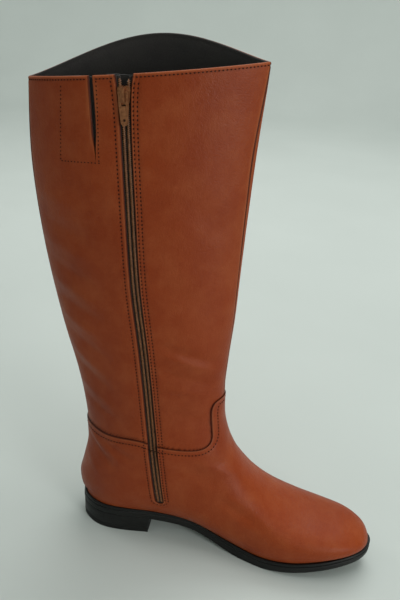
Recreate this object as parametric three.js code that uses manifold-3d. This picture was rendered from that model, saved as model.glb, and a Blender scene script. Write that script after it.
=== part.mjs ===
// Knee-high riding boot for the left foot, with a side zip, as an assembly of closed solids.
// Millimetres, +Z up, +X to the toe, +Y to the outer (lateral) side of the foot, -Y to the inner
// (medial) side, which carries the zip. The origin is on the floor under the middle of the heel.
import * as THREE from 'three';
import { mergeVertices } from 'three/addons/utils/BufferGeometryUtils.js';
import Module from 'manifold-3d';

const wasm = await Module();
wasm.setup();

// ---------------------------------------------------------------- driving dimensions
const SOLE_LENGTH = 274;
const HEEL_BACK = -34;          // rearmost point of the outsole
const HEEL_BREAST = 36;         // front face of the heel block
const WELT_THICK = 2.8;
const WELT_MARGIN = 2.6;        // how far the welt stands out past the upper
const INSOLE_THICK = 2.4;
const SOLE_CHAMFER = 1.0;
const HEEL_TAPER = 0.9;         // how much the heel block narrows to the floor
const WALL = 2.2;               // leather and lining of the upper and the shaft
const GAP = 0.3;                // clearance between neighbouring pieces
const COLLAR_RISE = 22;         // how much higher the outer side of the collar stands

const SLOT_HALF = 3.8;          // half the open width along the zip
const SLOT_FLARE = 3.0;         // extra half width of the slot at the collar
const SLOT_FLARE_RUN = 12;      // distance over which that extra width dies away
const SLOT_END = 47;            // height of the lower end of the slot
const COIL_HALF = 2.9;
const COIL_THICK = 1.5;
const TAPE_HALF = 11.5;
const TAPE_THICK = 0.6;
const TAPE_SPREAD = 3.2;        // half the gap between the tapes above the slider
const GUARD_HALF = 16;
const GUARD_THICK = 1.2;
const GORE_THICK = 0.8;
const HEM = 12;                 // how far tape and guard run on below the slot

const SLIDER_DROP = 13.5;       // from the collar down to the middle of the slider
const SLIDER_LENGTH = 12.4;
const SLIDER_TOP_HALF = 4.8;
const SLIDER_FOOT_HALF = 3.8;
const PLATE_THICK = 1.0;
const BRIDGE_HALF = 1.2;
const PULL_THICK = 1.2;
const PULL_LENGTH = 22.5;       // from the pivot to the free end
const PULL_TOP_HALF = 3.7;
const PULL_END_HALF = 2.6;

// Depths below the outer surface of the leather, in the order in which the layers lie.
const COIL_DEPTH = WALL - COIL_THICK;
const TAPE_DEPTH = WALL + GAP;
const FLAT_ROOM = 0.5;          // the layers curve past the flat slider by this much
const REAR_PLATE_DEPTH = TAPE_DEPTH + TAPE_THICK + GAP + FLAT_ROOM;
const GUARD_DEPTH = REAR_PLATE_DEPTH + PLATE_THICK + GAP;

const table = (columns, rows) =>
  rows.map((row) => Object.fromEntries(columns.map((name, i) => [name, row[i]])));

// Half widths of the outsole, from heel to toe.
const OUTLINE = table(['x', 'medial', 'lateral'], [
  [-34, 0, 0], [-29, 14, 19], [-12, 25.5, 32], [8, 26.5, 35.5], [40, 22, 35],
  [80, 19.5, 38.5], [115, 29, 45.5], [145, 38.5, 47.5], [170, 41.5, 44],
  [195, 37.5, 37.5], [217, 29, 26.5], [232, 18.5, 15.5], [240, 0, 0],
]);

// Height of the feather line, where the upper meets the top of the welt.
const FEATHER = table(['x', 'z'], [
  [-34, 28], [0, 27.5], [35, 26.6], [70, 22.6], [105, 15.2],
  [140, 10.8], [165, 13], [200, 19], [240, 27],
]);

// Height of the underside of the outsole: heel seat, arch, ball on the floor, toe spring.
const UNDERSIDE = table(['x', 'z'], [
  [-34, 18.7], [0, 18.2], [35, 17.3], [70, 13.3], [95, 7.4], [112, 2.6],
  [124, 0], [148, 0], [165, 2.8], [200, 9.4], [240, 17.6],
]);

// The surface of the last and leg, as sections fanned from the toe over the instep and up the
// shaft. Each runs from a back (or bottom) point to a front (or top) point in the XZ plane.
// backZ null: the section stands on the feather line. broad: where along the section it is
// widest. swell, blunt: exponents of its curve; 0.5 is elliptic, 1 a lens with creased ends.
const SECTIONS = table(
  ['backX', 'backZ', 'frontX', 'frontZ', 'medial', 'lateral', 'broad', 'swell', 'blunt'], [
    [237.4, null, 237.4, 27.4, 0, 0, 0.45, 2.0, 0.5],
    [236.4, null, 236.4, 31, 8, 7, 0.45, 2.0, 0.5],
    [233.5, null, 232.6, 36, 16.5, 15, 0.43, 2.1, 0.5],
    [227, null, 225, 40, 25, 23, 0.42, 2.2, 0.5],
    [215, null, 212.5, 43.8, 33, 31, 0.4, 2.3, 0.5],
    [196, null, 193, 47, 39, 37.5, 0.38, 2.3, 0.5],
    [173, null, 169.5, 51.5, 42, 43, 0.36, 2.3, 0.5],
    [150, null, 147, 60.8, 41, 45, 0.34, 2.3, 0.5],
    [126, null, 127, 75.5, 37, 43, 0.32, 2.2, 0.5],
    [100, null, 113, 92.5, 34, 39, 0.32, 2.2, 0.5],
    [72, null, 102.5, 109, 33, 36.5, 0.34, 2.2, 0.5],
    [44, null, 97, 123, 33.3, 35.5, 0.38, 2.2, 0.5],
    [16, null, 94, 134.5, 34, 35.5, 0.41, 2.2, 0.5],
    [-8, null, 92.8, 143.5, 34.5, 35.5, 0.44, 2.2, 0.5],
    [-31.4, null, 92.2, 152, 34.8, 35.4, 0.46, 2.2, 0.5],
    [-38, 47, 91.8, 160, 34.3, 35, 0.47, 2.2, 0.5],
    [-34.5, 67, 91.3, 170, 33.5, 34.2, 0.48, 2.2, 0.5],
    [-30.5, 92, 91.5, 184, 33, 34, 0.49, 2.2, 0.52],
    [-32.5, 120, 92, 203, 33, 34.2, 0.5, 2.2, 0.55],
    [-41, 160, 93, 231, 33.5, 35, 0.5, 2.1, 0.6],
    [-57, 213, 93, 271, 34, 35.5, 0.5, 2.0, 0.66],
    [-72, 278, 93.3, 319, 33.5, 35, 0.5, 2.0, 0.72],
    [-81.5, 344, 94.2, 372, 32.5, 34, 0.5, 2.0, 0.8],
    [-83, 407, 96.5, 427, 31, 33, 0.5, 2.0, 0.88],
  ]);
const HEEL_SECTION = 14;        // last section that stands on the feather line
const RISE_SECTION = 18;        // the collar's rise is blended in above this section
const COLLAR_SECTION = SECTIONS.length - 1;

// Seam between the foot and the shaft, from the back over the ankle and up to the tab in front.
const SEAM = table(['x', 'z'], [
  [-60, 114], [-30, 113.5], [-8, 112], [22, 115], [44, 111.5], [66, 110.5], [78, 111.5],
  [84.5, 115], [86.5, 121], [85, 131], [83.2, 143], [83.2, 150], [85.5, 155], [91, 157],
  [100, 157.5],
]);

// Middle line of the zip on the medial side.
const ZIP = table(['z', 'x'], [
  [30, 49.5], [47, 46.8], [72, 42.8], [107, 37.6], [140, 32.8], [172, 28.4], [203, 23.9],
  [260, 14.6], [331, 6.9], [385, 1.6], [420, -1.6],
]);

// Elastic gore behind a narrow slit, behind the zip at the collar: bounds in the side view.
const GORE = { back: -51, front: -17, foot: 352 };
const SLIT = table(['z', 'x', 'half'], [
  [354, -20, 0.1], [370, -21.6, 1.2], [390, -23.5, 1.6], [420, -27.2, 1.4],
]);

// ---------------------------------------------------------------- curves
// Smooth interpolation through unevenly spaced stations.
function smooth(stations, values, at) {
  const last = stations.length - 1;
  const t = Math.min(Math.max(at, stations[0]), stations[last]);
  let i = 0;
  while (i < last - 1 && t > stations[i + 1]) i += 1;
  const chord = (j) => (values[j + 1] - values[j]) / (stations[j + 1] - stations[j]);
  const slope = (j) => {
    if (j === 0) return chord(0);
    return j === last ? chord(last - 1) : (chord(j - 1) + chord(j)) / 2;
  };
  const span = stations[i + 1] - stations[i];
  const s = (t - stations[i]) / span;
  return (2 * s ** 3 - 3 * s ** 2 + 1) * values[i] + (s ** 3 - 2 * s ** 2 + s) * span * slope(i)
    + (3 * s ** 2 - 2 * s ** 3) * values[i + 1] + (s ** 3 - s ** 2) * span * slope(i + 1);
}

const column = (rows, name) => rows.map((row) => row[name]);
const follow = (rows, key) => {
  const value = Object.keys(rows[0]).find((name) => name !== key);
  const stations = column(rows, key);
  const values = column(rows, value);
  return (at) => smooth(stations, values, at);
};
const featherZ = follow(FEATHER, 'x');
const undersideZ = (x) => Math.max(0, follow(UNDERSIDE, 'x')(x));
const zipX = follow(ZIP, 'z');

const MIDDLE = HEEL_BACK + SOLE_LENGTH / 2;
const shrink = (inset) => 1 - (2 * inset) / SOLE_LENGTH;
const MEAN_HALF = 40;           // half width that an inset narrows by its full amount

// Position along the outline as an angle, so that its two ends come out round.
const turn = (x, inset) => {
  const full = MIDDLE + (x - MIDDLE) / shrink(inset);
  const c = 1 - (2 * (full - HEEL_BACK)) / SOLE_LENGTH;
  return Math.acos(Math.min(1, Math.max(-1, c)));
};
const outlineTurns = OUTLINE.map((row) => turn(row.x, 0));
const outlineHalf = (side, x, inset) =>
  (1 - inset / MEAN_HALF) * smooth(outlineTurns, column(OUTLINE, side), turn(x, inset));

SECTIONS.forEach((row) => { row.backZ ??= featherZ(row.backX); });
const sectionIndex = SECTIONS.map((row, i) => i);
const sectionAt = (k) => Object.fromEntries(Object.keys(SECTIONS[0]).map(
  (name) => [name, smooth(sectionIndex, column(SECTIONS, name), k)]));

// ---------------------------------------------------------------- the boot's surface
// Point on section k, a fraction h of the way from back to front, depth below the surface.
function skin(side, k, h, depth) {
  const s = sectionAt(k);
  const onSole = Math.min(1, Math.max(0, HEEL_SECTION + 1 - k));
  const length = Math.hypot(s.frontX - s.backX, s.frontZ - s.backZ);
  const tip = depth * (1 + 1.2 * (s.blunt - 0.5));
  const alongX = (s.frontX - s.backX) / length;
  const alongZ = (s.frontZ - s.backZ) / length;
  const tucked = MIDDLE + (s.backX - MIDDLE) * shrink(depth);
  const backX = onSole * tucked + (1 - onSole) * (s.backX + tip * alongX);
  const backZ = s.backZ + (1 - onSole) * tip * alongZ;
  const frontSlide = Math.min(tip, length * 0.8);
  const upright = onSole * Math.max(0, alongZ) ** 8;
  const frontX = s.frontX - frontSlide * alongX + upright * (tucked - s.backX);
  const frontZ = s.frontZ - frontSlide * alongZ;

  const inset = WELT_MARGIN + depth;
  const foot = k <= HEEL_SECTION ? Math.max(0, outlineHalf(side, backX, inset)) : 0;
  const widest = Math.max(s[side] - depth, foot * 1.001, 0);
  const below = h < s.broad;
  const reach = below ? (s.broad - h) / s.broad : (h - s.broad) / (1 - s.broad);
  const close = below && widest > 0 ? 1 - (foot / widest) ** (1 / s.blunt) : 1;
  const half = widest * Math.max(0, 1 - close * reach ** s.swell) ** s.blunt;

  const climb = Math.max(0, (k - RISE_SECTION) / (COLLAR_SECTION - RISE_SECTION));
  const rise = side === 'lateral' ? COLLAR_RISE * climb ** 2 * Math.sin(Math.PI * h) ** 1.2 : 0;
  const y = side === 'lateral' ? half : -half;
  return [backX + (frontX - backX) * h, y, backZ + (frontZ - backZ) * h + rise];
}

// ---------------------------------------------------------------- solids
function toManifold(geometry) {
  const bare = geometry.clone();
  bare.deleteAttribute('normal');
  bare.deleteAttribute('uv');
  const merged = mergeVertices(bare, 1e-4);
  const index = [...merged.index.array];
  const triangles = [];
  for (let i = 0; i < index.length; i += 3) {
    const [a, b, c] = index.slice(i, i + 3);
    if (a !== b && b !== c && c !== a) triangles.push(a, b, c);
  }
  return new wasm.Manifold(new wasm.Mesh({
    numProp: 3,
    vertProperties: new Float32Array(merged.attributes.position.array),
    triVerts: new Uint32Array(triangles),
  }));
}

function toGeometry(solid) {
  const mesh = solid.getMesh();
  const geometry = new THREE.BufferGeometry();
  geometry.setAttribute('position', new THREE.BufferAttribute(mesh.vertProperties, 3));
  geometry.setIndex(new THREE.BufferAttribute(mesh.triVerts, 1));
  geometry.computeVertexNormals();
  return geometry;
}

// Closed solid through a stack of rings of points, each ring closed and capped by strips that
// join its point i to its point (last - i). Rings run counter-clockwise seen from the last one.
function loft(rings) {
  const size = rings[0].length;
  const index = [];
  const quad = (a, b, c, d) => index.push(a, b, c, a, c, d);
  for (let r = 0; r < rings.length - 1; r += 1) {
    for (let i = 0; i < size; i += 1) {
      const j = (i + 1) % size;
      quad(r * size + i, r * size + j, (r + 1) * size + j, (r + 1) * size + i);
    }
  }
  const top = (rings.length - 1) * size;
  for (let i = 0; i < Math.floor((size - 1) / 2); i += 1) {
    const mate = size - 1 - i;
    quad(mate, mate - 1, i + 1, i);
    quad(top + i, top + i + 1, top + mate - 1, top + mate);
  }
  const geometry = new THREE.BufferGeometry();
  geometry.setAttribute('position', new THREE.Float32BufferAttribute(rings.flat(2), 3));
  geometry.setIndex(index);
  return toManifold(geometry);
}

const SIDE_STEPS = 11;          // facets from the back to the front of a section, each side
const SECTION_STEP = 0.5;
const OVERSHOOT = 16;           // how far the forms run on above the collar before it is cut

// The whole boot's form, depth below its surface, running on above the collar.
function form(depth) {
  const fractions = Array.from({ length: SIDE_STEPS + 1 },
    (unused, i) => (1 - Math.cos((Math.PI * i) / SIDE_STEPS)) / 2);
  const rings = [];
  for (let k = 0; k <= COLLAR_SECTION; k += SECTION_STEP) {
    rings.push([
      ...fractions.map((h) => skin('lateral', k, h, depth)),
      ...fractions.map((h) => skin('medial', k, 1 - h, depth)),
    ]);
  }
  rings.push(rings.at(-1).map(([x, y, z]) => [x, y, z + OVERSHOOT]));
  return loft(rings.map((ring) => [...ring].reverse()));
}

// Layered plate with the outline of the sole. Each level has an inset and a height over x.
function plate(levels, front = null) {
  const steps = 28;
  const rings = levels.map(({ inset, z }) => {
    const start = MIDDLE - (SOLE_LENGTH / 2) * shrink(inset);
    const end = front ?? MIDDLE + (SOLE_LENGTH / 2) * shrink(inset);
    const sweep = front === null ? Math.PI : Math.PI / 2;
    const xs = Array.from({ length: steps + 1 }, (unused, i) => {
      const c = 1 - Math.cos((sweep * i) / steps);
      return start + ((end - start) * c) / (1 - Math.cos(sweep));
    });
    return [
      ...xs.map((x) => [x, -outlineHalf('medial', x, inset), z(x)]),
      ...xs.reverse().map((x) => [x, outlineHalf('lateral', x, inset), z(x)]),
    ];
  });
  return loft(rings);
}

// Prism with the given outline in the side view (x, z), between two values of y.
function sidePrism(points, yLow, yHigh) {
  const outline = new THREE.Shape(points.map(([x, z]) => new THREE.Vector2(x, z)));
  const depth = yHigh - yLow;
  const geometry = new THREE.ExtrudeGeometry(outline, { depth, bevelEnabled: false });
  geometry.rotateX(Math.PI / 2).translate(0, yHigh, 0);
  return toManifold(geometry);
}

const FAR = 90;                 // past the boot's widest half
const BEYOND = 300;             // past its toe, in the side view
const ABOVE = 500;

// Everything above the collar line, medial side and lateral side.
function aboveCollar() {
  const edge = (side) => Array.from({ length: 21 }, (unused, i) => {
    const [x, , z] = skin(side, COLLAR_SECTION, i / 20, 0);
    return [x, z];
  });
  const close = (line) => {
    const [x0, z0] = line[0];
    const [x1, z1] = line.at(-1);
    return [[x0 - 50, z0], ...line, [x1 + 50, z1], [x1 + 50, ABOVE], [x0 - 50, ABOVE]];
  };
  return sidePrism(close(edge('medial')), -FAR, 0).add(sidePrism(close(edge('lateral')), 0, FAR));
}

// Everything below the seam between foot and shaft, its edge moved up by shift.
function belowSeam(shift) {
  const spline = new THREE.SplineCurve(SEAM.map(({ x, z }) => new THREE.Vector2(x, z)));
  const line = Array.from({ length: 49 }, (unused, i) => {
    const p = spline.getPoint(i / 48);
    const along = spline.getTangent(i / 48);
    return [p.x - along.y * shift, p.y + along.x * shift];
  });
  return sidePrism([...line, [BEYOND, SEAM.at(-1).z + shift], [BEYOND, -FAR], [-FAR, -FAR]],
    -FAR, FAR);
}

// Prism that follows the zip on the medial side. near and far are offsets to the front of its
// middle line, over height; ends are the lowest and highest height.
function alongZip(near, far, [low, high]) {
  const steps = 12;
  const heights = Array.from({ length: steps + 1 },
    (unused, i) => low + ((high - low) * i) / steps);
  return sidePrism([
    ...heights.map((z) => [zipX(z) + far(z), z]),
    ...heights.reverse().map((z) => [zipX(z) + near(z), z]),
  ], -FAR, -8);
}

// Height at which the zip's middle line meets the collar.
const zipTopZ = (() => {
  const [backX, , backZ] = skin('medial', COLLAR_SECTION, 0, 0);
  const [frontX, , frontZ] = skin('medial', COLLAR_SECTION, 1, 0);
  return backZ + ((frontZ - backZ) * (zipX(ABOVE) - backX)) / (frontX - backX);
})();
const slotHalf = (z) =>
  SLOT_HALF + SLOT_FLARE * Math.exp(-Math.max(0, zipTopZ - z) / SLOT_FLARE_RUN);
const sliderZ = zipTopZ - SLIDER_DROP;
const between = (low, high, z) => THREE.MathUtils.smoothstep(z, low, high);

const outer = form(0);
const inner = form(WALL);
const collar = aboveCollar();
const layer = (depth, thick) => form(depth).subtract(form(depth + thick));

// Upper and shaft, one shell before the seam divides them: open at the collar, underneath and
// along the zip and the slit over the gore.
const floorOpening = plate([
  { inset: WELT_MARGIN + WALL, z: (x) => featherZ(x) - 4 },
  { inset: WELT_MARGIN + WALL, z: (x) => featherZ(x) + 4 },
]);
const weltRoom = plate([
  { inset: -2, z: (x) => featherZ(x) - 8 },
  { inset: -2, z: (x) => featherZ(x) + GAP },
]);
const slot = alongZip((z) => -slotHalf(z), slotHalf, [SLOT_END, zipTopZ + OVERSHOOT]);
const slit = sidePrism([
  ...SLIT.map(({ x, z, half }) => [x + half, z]),
  ...[...SLIT].reverse().map(({ x, z, half }) => [x - half, z]),
], -FAR, -8);
const shell = outer.subtract(inner).subtract(floorOpening).subtract(weltRoom)
  .subtract(collar).subtract(slot).subtract(slit);
const upper = shell.intersect(belowSeam(-GAP / 2));
const shaft = shell.subtract(belowSeam(GAP / 2));

// ---------------------------------------------------------------- sole
const outsole = plate([
  { inset: SOLE_CHAMFER, z: undersideZ },
  { inset: 0, z: (x) => undersideZ(x) + SOLE_CHAMFER },
  { inset: 0, z: (x) => featherZ(x) - WELT_THICK - GAP },
]);
const welt = plate([
  { inset: 0, z: (x) => featherZ(x) - WELT_THICK },
  { inset: 0, z: (x) => featherZ(x) - 0.6 },
  { inset: 0.6, z: featherZ },
]);
const heel = plate([
  { inset: HEEL_TAPER + 0.6, z: () => 0 },
  { inset: HEEL_TAPER, z: () => 0.6 },
  { inset: 0.4, z: (x) => undersideZ(x) - GAP },
], HEEL_BREAST);
const insoleInset = WELT_MARGIN + WALL + 1.6 * GAP;
const insole = plate([
  { inset: insoleInset, z: (x) => featherZ(x) + GAP },
  { inset: insoleInset, z: (x) => featherZ(x) + GAP + INSOLE_THICK },
]);

// ---------------------------------------------------------------- zip and gore
const zipFoot = SLOT_END - HEM;
const tapeLayer = layer(TAPE_DEPTH, TAPE_THICK).subtract(collar);
const tapeGap = (z) => GAP / 2 + TAPE_SPREAD * between(sliderZ - 2, sliderZ + 6, z);
const tapeEnds = [zipFoot, zipTopZ - 1.5];
const tapeFront = tapeLayer.intersect(alongZip(tapeGap, () => TAPE_HALF, tapeEnds));
const tapeRear = tapeLayer.intersect(alongZip(() => -TAPE_HALF, (z) => -tapeGap(z), tapeEnds));

const coilLayer = layer(COIL_DEPTH, COIL_THICK);
const coilEnds = [SLOT_END + 1.5, sliderZ + 1];
const coilFront = coilLayer.intersect(alongZip(() => GAP / 2, () => COIL_HALF, coilEnds));
const coilRear = coilLayer.intersect(alongZip(() => -COIL_HALF, () => -GAP / 2, coilEnds));

const guard = layer(GUARD_DEPTH, GUARD_THICK).subtract(collar)
  .intersect(alongZip(() => -GUARD_HALF, () => GUARD_HALF, [zipFoot, zipTopZ - 1]));

const gore = layer(TAPE_DEPTH, GORE_THICK).subtract(collar).intersect(sidePrism([
  [GORE.back, GORE.foot], [GORE.front, GORE.foot], [GORE.front - 1, ABOVE], [GORE.back, ABOVE],
], -FAR, -8));

// ---------------------------------------------------------------- slider and pull tab
// Both are drawn flat in their own frame: x to the toe, y into the boot, z up along the zip,
// with y = 0 on the outer surface of the leather.
const box = (x, y, z) => {
  const geometry = new THREE.BoxGeometry(x[1] - x[0], y[1] - y[0], z[1] - z[0]);
  geometry.translate((x[0] + x[1]) / 2, (y[0] + y[1]) / 2, (z[0] + z[1]) / 2);
  return toManifold(geometry);
};
const unite = (...solids) => solids.reduce((all, one) => all.add(one));

const FACE_Y = COIL_DEPTH - GAP;            // back of the slider's front plate
const PLATE_Y = FACE_Y - PLATE_THICK;       // its front
const PIVOT = new THREE.Vector3(0, PLATE_Y - 0.45 - PULL_THICK / 2, 2.2);
const BRIDGE_TOP_Y = PIVOT.y - PULL_THICK / 2 - 0.4;

function shieldOutline(half) {
  const top = SLIDER_LENGTH / 2;
  return [
    [-0.7 * half, -top], [0.7 * half, -top], [SLIDER_FOOT_HALF, -top + 1.4],
    [SLIDER_TOP_HALF, top - 3], [SLIDER_TOP_HALF - 0.6, top - 0.8], [1.6, top], [0.6, top - 0.7],
    [-0.6, top - 0.7], [-1.6, top], [-SLIDER_TOP_HALF + 0.6, top - 0.8],
    [-SLIDER_TOP_HALF, top - 3], [-SLIDER_FOOT_HALF, -top + 1.4],
  ];
}

function makeSlider() {
  const outline = shieldOutline(SLIDER_FOOT_HALF);
  const top = SLIDER_LENGTH / 2;
  const front = sidePrism(outline, PLATE_Y, FACE_Y);
  const rear = sidePrism(outline, REAR_PLATE_DEPTH, REAR_PLATE_DEPTH + PLATE_THICK);
  const rim = sidePrism(outline, FACE_Y - 0.2, WALL);
  const clear = COIL_HALF + GAP;
  const channel = box([-clear, clear], [FACE_Y, WALL + 1], [-top - 1, top + 1]);
  const wedge = box([-1.2, 1.2], [FACE_Y - 0.2, REAR_PLATE_DEPTH + 0.2], [2.6, 5]);
  const bridge = box([-BRIDGE_HALF, BRIDGE_HALF], [BRIDGE_TOP_Y - 0.9, PLATE_Y + 0.2], [-4.6, 5]);
  const eye = box([-2, 2], [BRIDGE_TOP_Y, PLATE_Y], [PIVOT.z - 1.3, PIVOT.z + 1.3]);
  return unite(front, rear, rim.subtract(channel), wedge, bridge.subtract(eye));
}

// Pull tab with its pivot at the origin, hanging down, with a window round the bridge.
function makePull() {
  const bar = PULL_THICK / 2;
  const outline = new THREE.Shape([
    [-PULL_TOP_HALF + 1, bar], [-PULL_TOP_HALF, bar - 1], [-PULL_TOP_HALF, -8.5],
    [-PULL_END_HALF, -PULL_LENGTH + 1.6], [-PULL_END_HALF + 1.2, -PULL_LENGTH],
    [PULL_END_HALF - 1.2, -PULL_LENGTH], [PULL_END_HALF, -PULL_LENGTH + 1.6],
    [PULL_TOP_HALF, -8.5], [PULL_TOP_HALF, bar - 1], [PULL_TOP_HALF - 1, bar],
  ].map(([x, z]) => new THREE.Vector2(x, z)));
  const clear = BRIDGE_HALF + 0.4;
  outline.holes.push(new THREE.Path([
    [-clear, -bar], [clear, -bar], [clear, -9.4], [-clear, -9.4],
  ].map(([x, z]) => new THREE.Vector2(x, z))));
  const eyelet = new THREE.Path();
  eyelet.absarc(0, -PULL_LENGTH + 3.6, 1, 0, 2 * Math.PI);
  outline.holes.push(eyelet);
  const geometry = new THREE.ExtrudeGeometry(outline,
    { depth: PULL_THICK, bevelEnabled: false, curveSegments: 12 });
  return geometry.rotateX(Math.PI / 2).translate(0, PULL_THICK / 2, 0);
}

// Frame of the slider on the leather: the section and fraction of the skin that pass through
// a given point of the medial side view.
function locate(x, z) {
  const across = (k) => {
    const s = sectionAt(k);
    return (s.frontX - s.backX) * (z - s.backZ) - (s.frontZ - s.backZ) * (x - s.backX);
  };
  let [low, high] = [HEEL_SECTION, COLLAR_SECTION];
  for (let i = 0; i < 40; i += 1) {
    const mid = (low + high) / 2;
    if (across(mid) > 0) low = mid; else high = mid;
  }
  const s = sectionAt(low);
  return new THREE.Vector3(...skin('medial', low, (x - s.backX) / (s.frontX - s.backX), 0));
}
const seat = locate(zipX(sliderZ), sliderZ);
const up = locate(zipX(sliderZ + 8), sliderZ + 8).sub(locate(zipX(sliderZ - 16), sliderZ - 16));
const toToe = locate(seat.x + 5, sliderZ).sub(locate(seat.x - 5, sliderZ)).normalize();
const inward = up.clone().cross(toToe).normalize();
const zipHead = new THREE.Group();
zipHead.position.copy(seat);
zipHead.quaternion.setFromRotationMatrix(
  new THREE.Matrix4().makeBasis(inward.clone().cross(up.normalize()), inward, up));

// ---------------------------------------------------------------- assembly
const leather = { color: 0x7b3b21, roughness: 0.45 };
const blackRubber = { color: 0x1c1d1a, roughness: 0.6 };
const brass = { color: 0x6b4a2c, roughness: 0.4, metalness: 0.9 };
const mesh = (name, geometry, look) => {
  const made = new THREE.Mesh(geometry, new THREE.MeshStandardMaterial(look));
  made.name = name;
  return made;
};

const boot = new THREE.Group();
boot.add(
  mesh('outsole', toGeometry(outsole), blackRubber),
  mesh('heel', toGeometry(heel), blackRubber),
  mesh('welt', toGeometry(welt), { color: 0x151513, roughness: 0.5 }),
  mesh('insole', toGeometry(insole), { color: 0x2a2622, roughness: 0.8 }),
  mesh('upper', toGeometry(upper), leather),
  mesh('shaft', toGeometry(shaft), leather),
  mesh('zip_tape_front', toGeometry(tapeFront), { color: 0x2b1c12, roughness: 0.9 }),
  mesh('zip_tape_rear', toGeometry(tapeRear), { color: 0x2b1c12, roughness: 0.9 }),
  mesh('zip_coil_front', toGeometry(coilFront), { color: 0x5e3a22, roughness: 0.6 }),
  mesh('zip_coil_rear', toGeometry(coilRear), { color: 0x5e3a22, roughness: 0.6 }),
  mesh('zip_guard', toGeometry(guard), { color: 0x171513, roughness: 0.6 }),
  mesh('gore', toGeometry(gore), { color: 0x1f1611, roughness: 0.9 }),
  zipHead,
);
const pull = mesh('zip_pull', makePull(), brass);
pull.position.copy(PIVOT);
zipHead.add(mesh('zip_slider', toGeometry(makeSlider()), brass), pull);

export default boot;
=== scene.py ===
"""Looks of a left knee-high riding boot with a side zip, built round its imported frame.

Shapes are worked out in millimetres in the frame's own axes: +X to the toe, +Y to the outer
(lateral) side, -Y to the inner (medial) side with the zip, +Z up. Meshes are made in metres.
"""
import math

import bmesh
import bpy
import numpy as np
from mathutils import Matrix, Vector


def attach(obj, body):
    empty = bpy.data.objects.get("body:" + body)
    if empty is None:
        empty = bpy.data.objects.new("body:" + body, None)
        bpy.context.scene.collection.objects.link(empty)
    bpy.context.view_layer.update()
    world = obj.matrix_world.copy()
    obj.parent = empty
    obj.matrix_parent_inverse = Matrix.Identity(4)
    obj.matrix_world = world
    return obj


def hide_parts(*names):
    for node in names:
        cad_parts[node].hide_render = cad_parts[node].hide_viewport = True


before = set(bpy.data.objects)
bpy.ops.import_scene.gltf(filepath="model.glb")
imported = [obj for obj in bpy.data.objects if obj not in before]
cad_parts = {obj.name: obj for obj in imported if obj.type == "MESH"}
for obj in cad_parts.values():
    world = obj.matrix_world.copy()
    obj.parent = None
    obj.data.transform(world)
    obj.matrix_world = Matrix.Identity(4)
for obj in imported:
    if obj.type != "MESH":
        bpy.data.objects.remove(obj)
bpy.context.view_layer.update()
MM = 0.001
MEDIAL, LATERAL = -1.0, 1.0


# ---------- sizes of the boot
def table(columns, rows):
    """A short table as one array per named column."""
    return dict(zip(columns.split(), np.array(rows, float).T))


SOLE_LENGTH = 274
HEEL_BACK = -34
HEEL_BREAST = 36
MIDDLE = HEEL_BACK + SOLE_LENGTH / 2
WELT_THICK = 2.8
WELT_MARGIN = 2.6
MEAN_HALF = 40
COLLAR_RISE = 22

LEATHER = 1.25          # thickness of the leather
LINING = (1.4, 2.2)     # depths between which the lining lies
SEAM_PROUD = 1.3        # how far the foot's leather stands over the shaft's at the ankle seam
SEAM_LAP = 7            # how far the shaft's leather runs on under it

SLOT_HALF = 3.8         # half the open width along the zip
SLOT_FLARE = 3.0
SLOT_FLARE_RUN = 12
SLOT_END = 47
TAPE_HALF = 11.5
TAPE_DEPTH = 2.5
TAPE_THICK = 0.6
TAPE_GAP = 0.15         # half the gap between the tapes below the slider
TAPE_SPREAD = 3.2       # how much wider it gets above
GUARD_HALF = 16
GUARD_DEPTH = 5.2
GUARD_THICK = 1.2
GORE_THICK = 0.8
HEM = 12
SLIDER_DROP = 13.5

OUTLINE = table("x medial lateral", [
    [-34, 0, 0], [-29, 14, 19], [-12, 25.5, 32], [8, 26.5, 35.5], [40, 22, 35],
    [80, 19.5, 38.5], [115, 29, 45.5], [145, 38.5, 47.5], [170, 41.5, 44],
    [195, 37.5, 37.5], [217, 29, 26.5], [232, 18.5, 15.5], [240, 0, 0],
])
FEATHER = table("x z", [
    [-34, 28], [0, 27.5], [35, 26.6], [70, 22.6], [105, 15.2],
    [140, 10.8], [165, 13], [200, 19], [240, 27],
])
UNDERSIDE = table("x z", [
    [-34, 18.7], [0, 18.2], [35, 17.3], [70, 13.3], [95, 7.4], [112, 2.6],
    [124, 0], [148, 0], [165, 2.8], [200, 9.4], [240, 17.6],
])
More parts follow.
